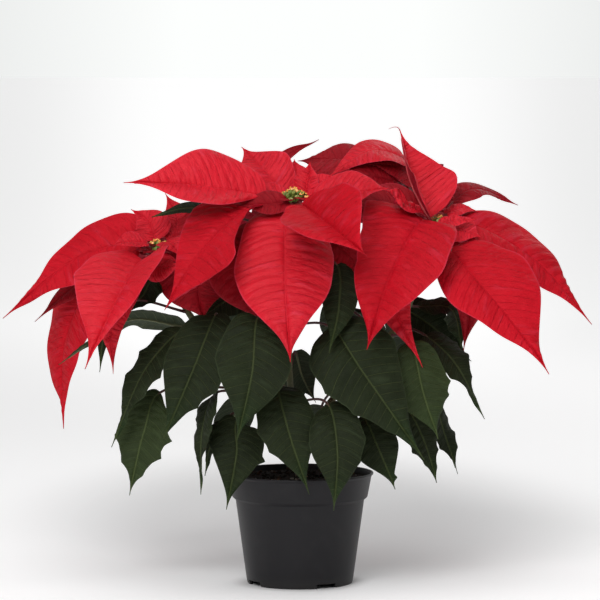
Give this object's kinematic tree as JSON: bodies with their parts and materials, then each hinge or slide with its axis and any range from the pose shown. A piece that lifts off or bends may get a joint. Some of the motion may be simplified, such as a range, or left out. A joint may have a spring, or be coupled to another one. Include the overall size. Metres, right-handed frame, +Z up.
{
  "type": "potted poinsettia",
  "caption": "Bushy poinsettia with large red bracts over dark green leaves on branching stems, rooted in soil in a small black plastic nursery pot.",
  "frame": {"origin": "on the pot's axis, on the surface that the pot stands on", "axes": "+Z up along the pot's axis, the plant's front faces -Y, its widest spread is along X"},
  "size_m": [0.5195, 0.2886, 0.4001],
  "materials": {
    "pot": "satin",
    "soil": "matte",
    "stem": "satin",
    "flower_head": "satin",
    "bract": "satin",
    "leaf": "satin"
  },
  "bodies": {
    "root": {"pot": "pot", "soil": "soil", "stem": "stem", "flower_head_front": "flower_head", "flower_head_left": "flower_head", "flower_head_right": "flower_head", "flower_head_back_left": "flower_head", "flower_head_back_right": "flower_head", "bract_front_1": "bract", "bract_front_2": "bract", "bract_front_3": "bract", "bract_front_4": "bract", "bract_front_5": "bract", "bract_front_6": "bract", "bract_front_7": "bract", "bract_front_8": "bract", "bract_front_9": "bract", "bract_front_10": "bract", "bract_right_1": "bract", "bract_right_2": "bract", "bract_right_3": "bract", "bract_right_4": "bract", "bract_right_5": "bract", "bract_right_6": "bract", "bract_right_7": "bract", "bract_right_8": "bract", "bract_right_9": "bract", "bract_back_right_1": "bract", "bract_back_right_2": "bract", "bract_back_right_3": "bract", "bract_back_right_4": "bract", "bract_back_right_5": "bract", "bract_left_1": "bract", "bract_left_2": "bract", "bract_left_3": "bract", "bract_left_4": "bract", "bract_left_5": "bract", "bract_left_6": "bract", "bract_back_left_1": "bract", "bract_back_left_2": "bract", "bract_back_left_3": "bract", "bract_back_left_4": "bract", "leaf_1": "leaf", "leaf_2": "leaf", "leaf_3": "leaf", "leaf_4": "leaf", "leaf_5": "leaf", "leaf_6": "leaf", "leaf_7": "leaf", "leaf_8": "leaf", "leaf_9": "leaf", "leaf_10": "leaf", "leaf_11": "leaf", "leaf_12": "leaf", "leaf_13": "leaf", "leaf_14": "leaf", "leaf_15": "leaf", "leaf_16": "leaf", "leaf_17": "leaf", "leaf_18": "leaf"}
  },
  "joints": []
}
